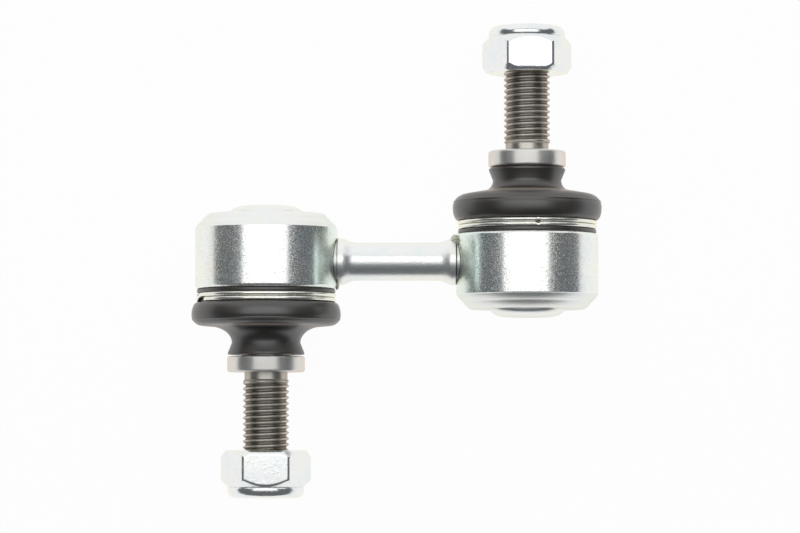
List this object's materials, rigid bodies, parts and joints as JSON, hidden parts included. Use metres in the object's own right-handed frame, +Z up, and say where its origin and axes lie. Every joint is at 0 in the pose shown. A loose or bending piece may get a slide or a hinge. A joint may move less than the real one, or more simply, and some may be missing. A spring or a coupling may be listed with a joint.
{
  "type": "stabilizer link",
  "caption": "Short Z-shaped stabilizer link: a rod with a sealed ball joint welded to each end, threaded studs pointing opposite ways, rubber boots and lock nuts.",
  "frame": {"origin": "middle of the rod, on its axis, which is the middle of the part's box", "axes": "+X along the rod to the joint whose stud points up the picture, +Y along that stud, +Z up as the link lies on its boots"},
  "size_m": [0.088, 0.1012, 0.032],
  "materials": {
    "rod_zinc": "bright zinc",
    "housing_zinc": "bright zinc with a fine grain",
    "cover_zinc": "bright zinc",
    "seat_plastic": "moulded, slippery",
    "clip_wire": "drawn wire",
    "boot_rubber": "matte moulded",
    "bush_steel": "plain",
    "stud_steel": "turned and rolled steel",
    "insert_plastic": "moulded",
    "nut_zinc": "bright zinc"
  },
  "bodies": {
    "link": {"link_rod": "rod_zinc", "housing_left": "housing_zinc", "housing_right": "housing_zinc", "cover_left": "cover_zinc", "cover_right": "cover_zinc", "seat_cup_left": "seat_plastic", "seat_cup_right": "seat_plastic", "seat_ring_left": "seat_plastic", "seat_ring_right": "seat_plastic", "boot_clip_left": "clip_wire", "boot_clip_right": "clip_wire"},
    "left_boot": {"boot_left": "boot_rubber"},
    "left_lip": {"boot_lip_ring_left": "bush_steel"},
    "left_stud": {"ball_stud_left": "stud_steel"},
    "left_insert": {"nut_insert_left": "insert_plastic"},
    "left_nut": {"nut_left": "nut_zinc"},
    "right_boot": {"boot_right": "boot_rubber"},
    "right_lip": {"boot_lip_ring_right": "bush_steel"},
    "right_stud": {"ball_stud_right": "stud_steel"},
    "right_insert": {"nut_insert_right": "insert_plastic"},
    "right_nut": {"nut_right": "nut_zinc"}
  },
  "joints": [
    {"name": "left_swing_direction", "type": "hinge", "parent": "link", "child": "left_boot", "pos_m": [-0.028, 0, 0], "axis": [0, -1, 0], "continuous": true},
    {"name": "left_swing", "type": "hinge", "parent": "left_boot", "child": "left_lip", "pos_m": [-0.028, 0, 0], "axis": [0, 0, 1], "range_deg": [-22, 22], "deforming": ["boot_left"]},
    {"name": "left_stud_spin", "type": "hinge", "parent": "left_lip", "child": "left_stud", "pos_m": [-0.028, 0, 0], "axis": [0, -1, 0], "continuous": true},
    {"name": "left_nut_travel", "type": "slide", "parent": "left_stud", "child": "left_insert", "axis": [0, -1, 0], "range_m": [-0.01375, 0.00875]},
    {"name": "left_nut_turn", "type": "hinge", "parent": "left_insert", "child": "left_nut", "pos_m": [-0.028, 0, 0], "axis": [0, -1, 0], "range_deg": [-3960, 2520]},
    {"name": "right_swing_direction", "type": "hinge", "parent": "link", "child": "right_boot", "pos_m": [0.028, 0, 0], "axis": [0, 1, 0], "continuous": true},
    {"name": "right_swing", "type": "hinge", "parent": "right_boot", "child": "right_lip", "pos_m": [0.028, 0, 0], "axis": [0, 0, 1], "range_deg": [-22, 22], "deforming": ["boot_right"]},
    {"name": "right_stud_spin", "type": "hinge", "parent": "right_lip", "child": "right_stud", "pos_m": [0.028, 0, 0], "axis": [0, 1, 0], "continuous": true},
    {"name": "right_nut_travel", "type": "slide", "parent": "right_stud", "child": "right_insert", "axis": [0, 1, 0], "range_m": [-0.01375, 0.00875]},
    {"name": "right_nut_turn", "type": "hinge", "parent": "right_insert", "child": "right_nut", "pos_m": [0.028, 0, 0], "axis": [0, 1, 0], "range_deg": [-3960, 2520]}
  ],
  "couplings": [
    {"joint": "left_nut_turn", "follows": "left_nut_travel", "rad_per_m": 5026.5},
    {"joint": "right_nut_turn", "follows": "right_nut_travel", "rad_per_m": 5026.5}
  ]
}
